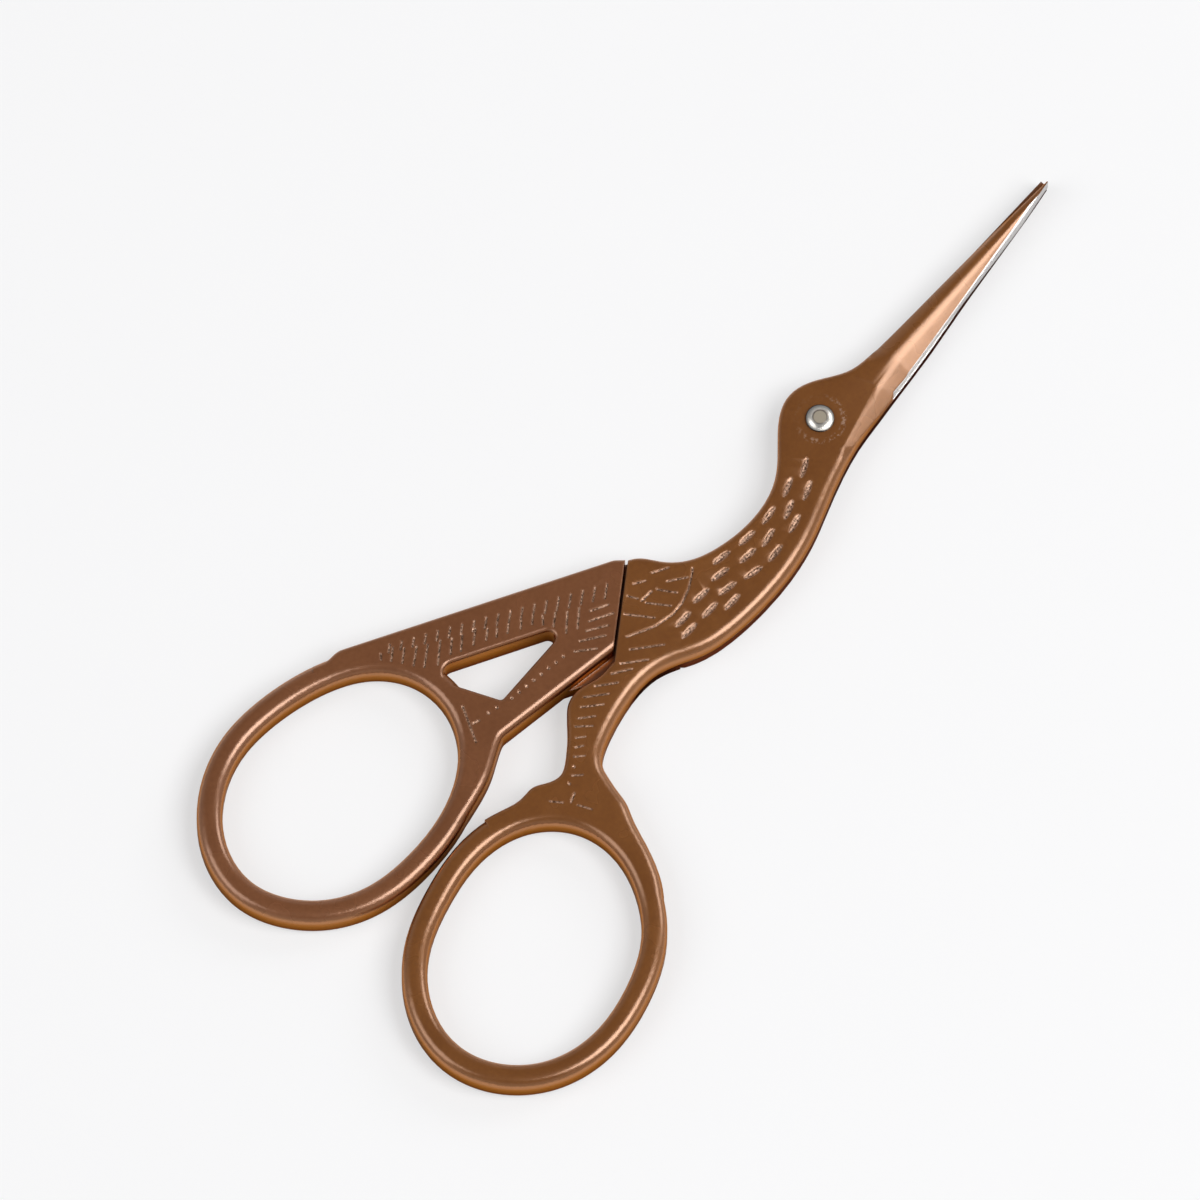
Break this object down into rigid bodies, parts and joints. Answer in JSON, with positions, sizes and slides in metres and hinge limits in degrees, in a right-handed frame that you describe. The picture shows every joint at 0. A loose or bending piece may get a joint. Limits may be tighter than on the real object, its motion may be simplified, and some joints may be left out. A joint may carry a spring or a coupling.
{
  "type": "embroidery scissors",
  "caption": "Small needlework scissors in the shape of a stork: slender pointed blades as the beak, a feathered body, a windowed tail and oval finger rings, joined by a rivet.",
  "frame": {"origin": "pivot axis, in the plane of the underside", "axes": "+X towards the blade tips, +Y towards the tail side, +Z towards the front face"},
  "size_m": [0.0924, 0.0426, 0.0034],
  "materials": {
    "front_half": "satin copper-brown plating on steel, bare ground cutting edge",
    "back_half": "satin copper-brown plating on steel, bare ground cutting edge",
    "pivot_rivet": "bright turned steel"
  },
  "bodies": {
    "back": {"back_half": "back_half", "pivot_rivet": "pivot_rivet"},
    "front": {"front_half": "front_half"}
  },
  "joints": [
    {"name": "pivot", "type": "hinge", "parent": "back", "child": "front", "pos_m": [0, 0, 0], "axis": [0, 0, 1], "range_deg": [0, 60]}
  ]
}
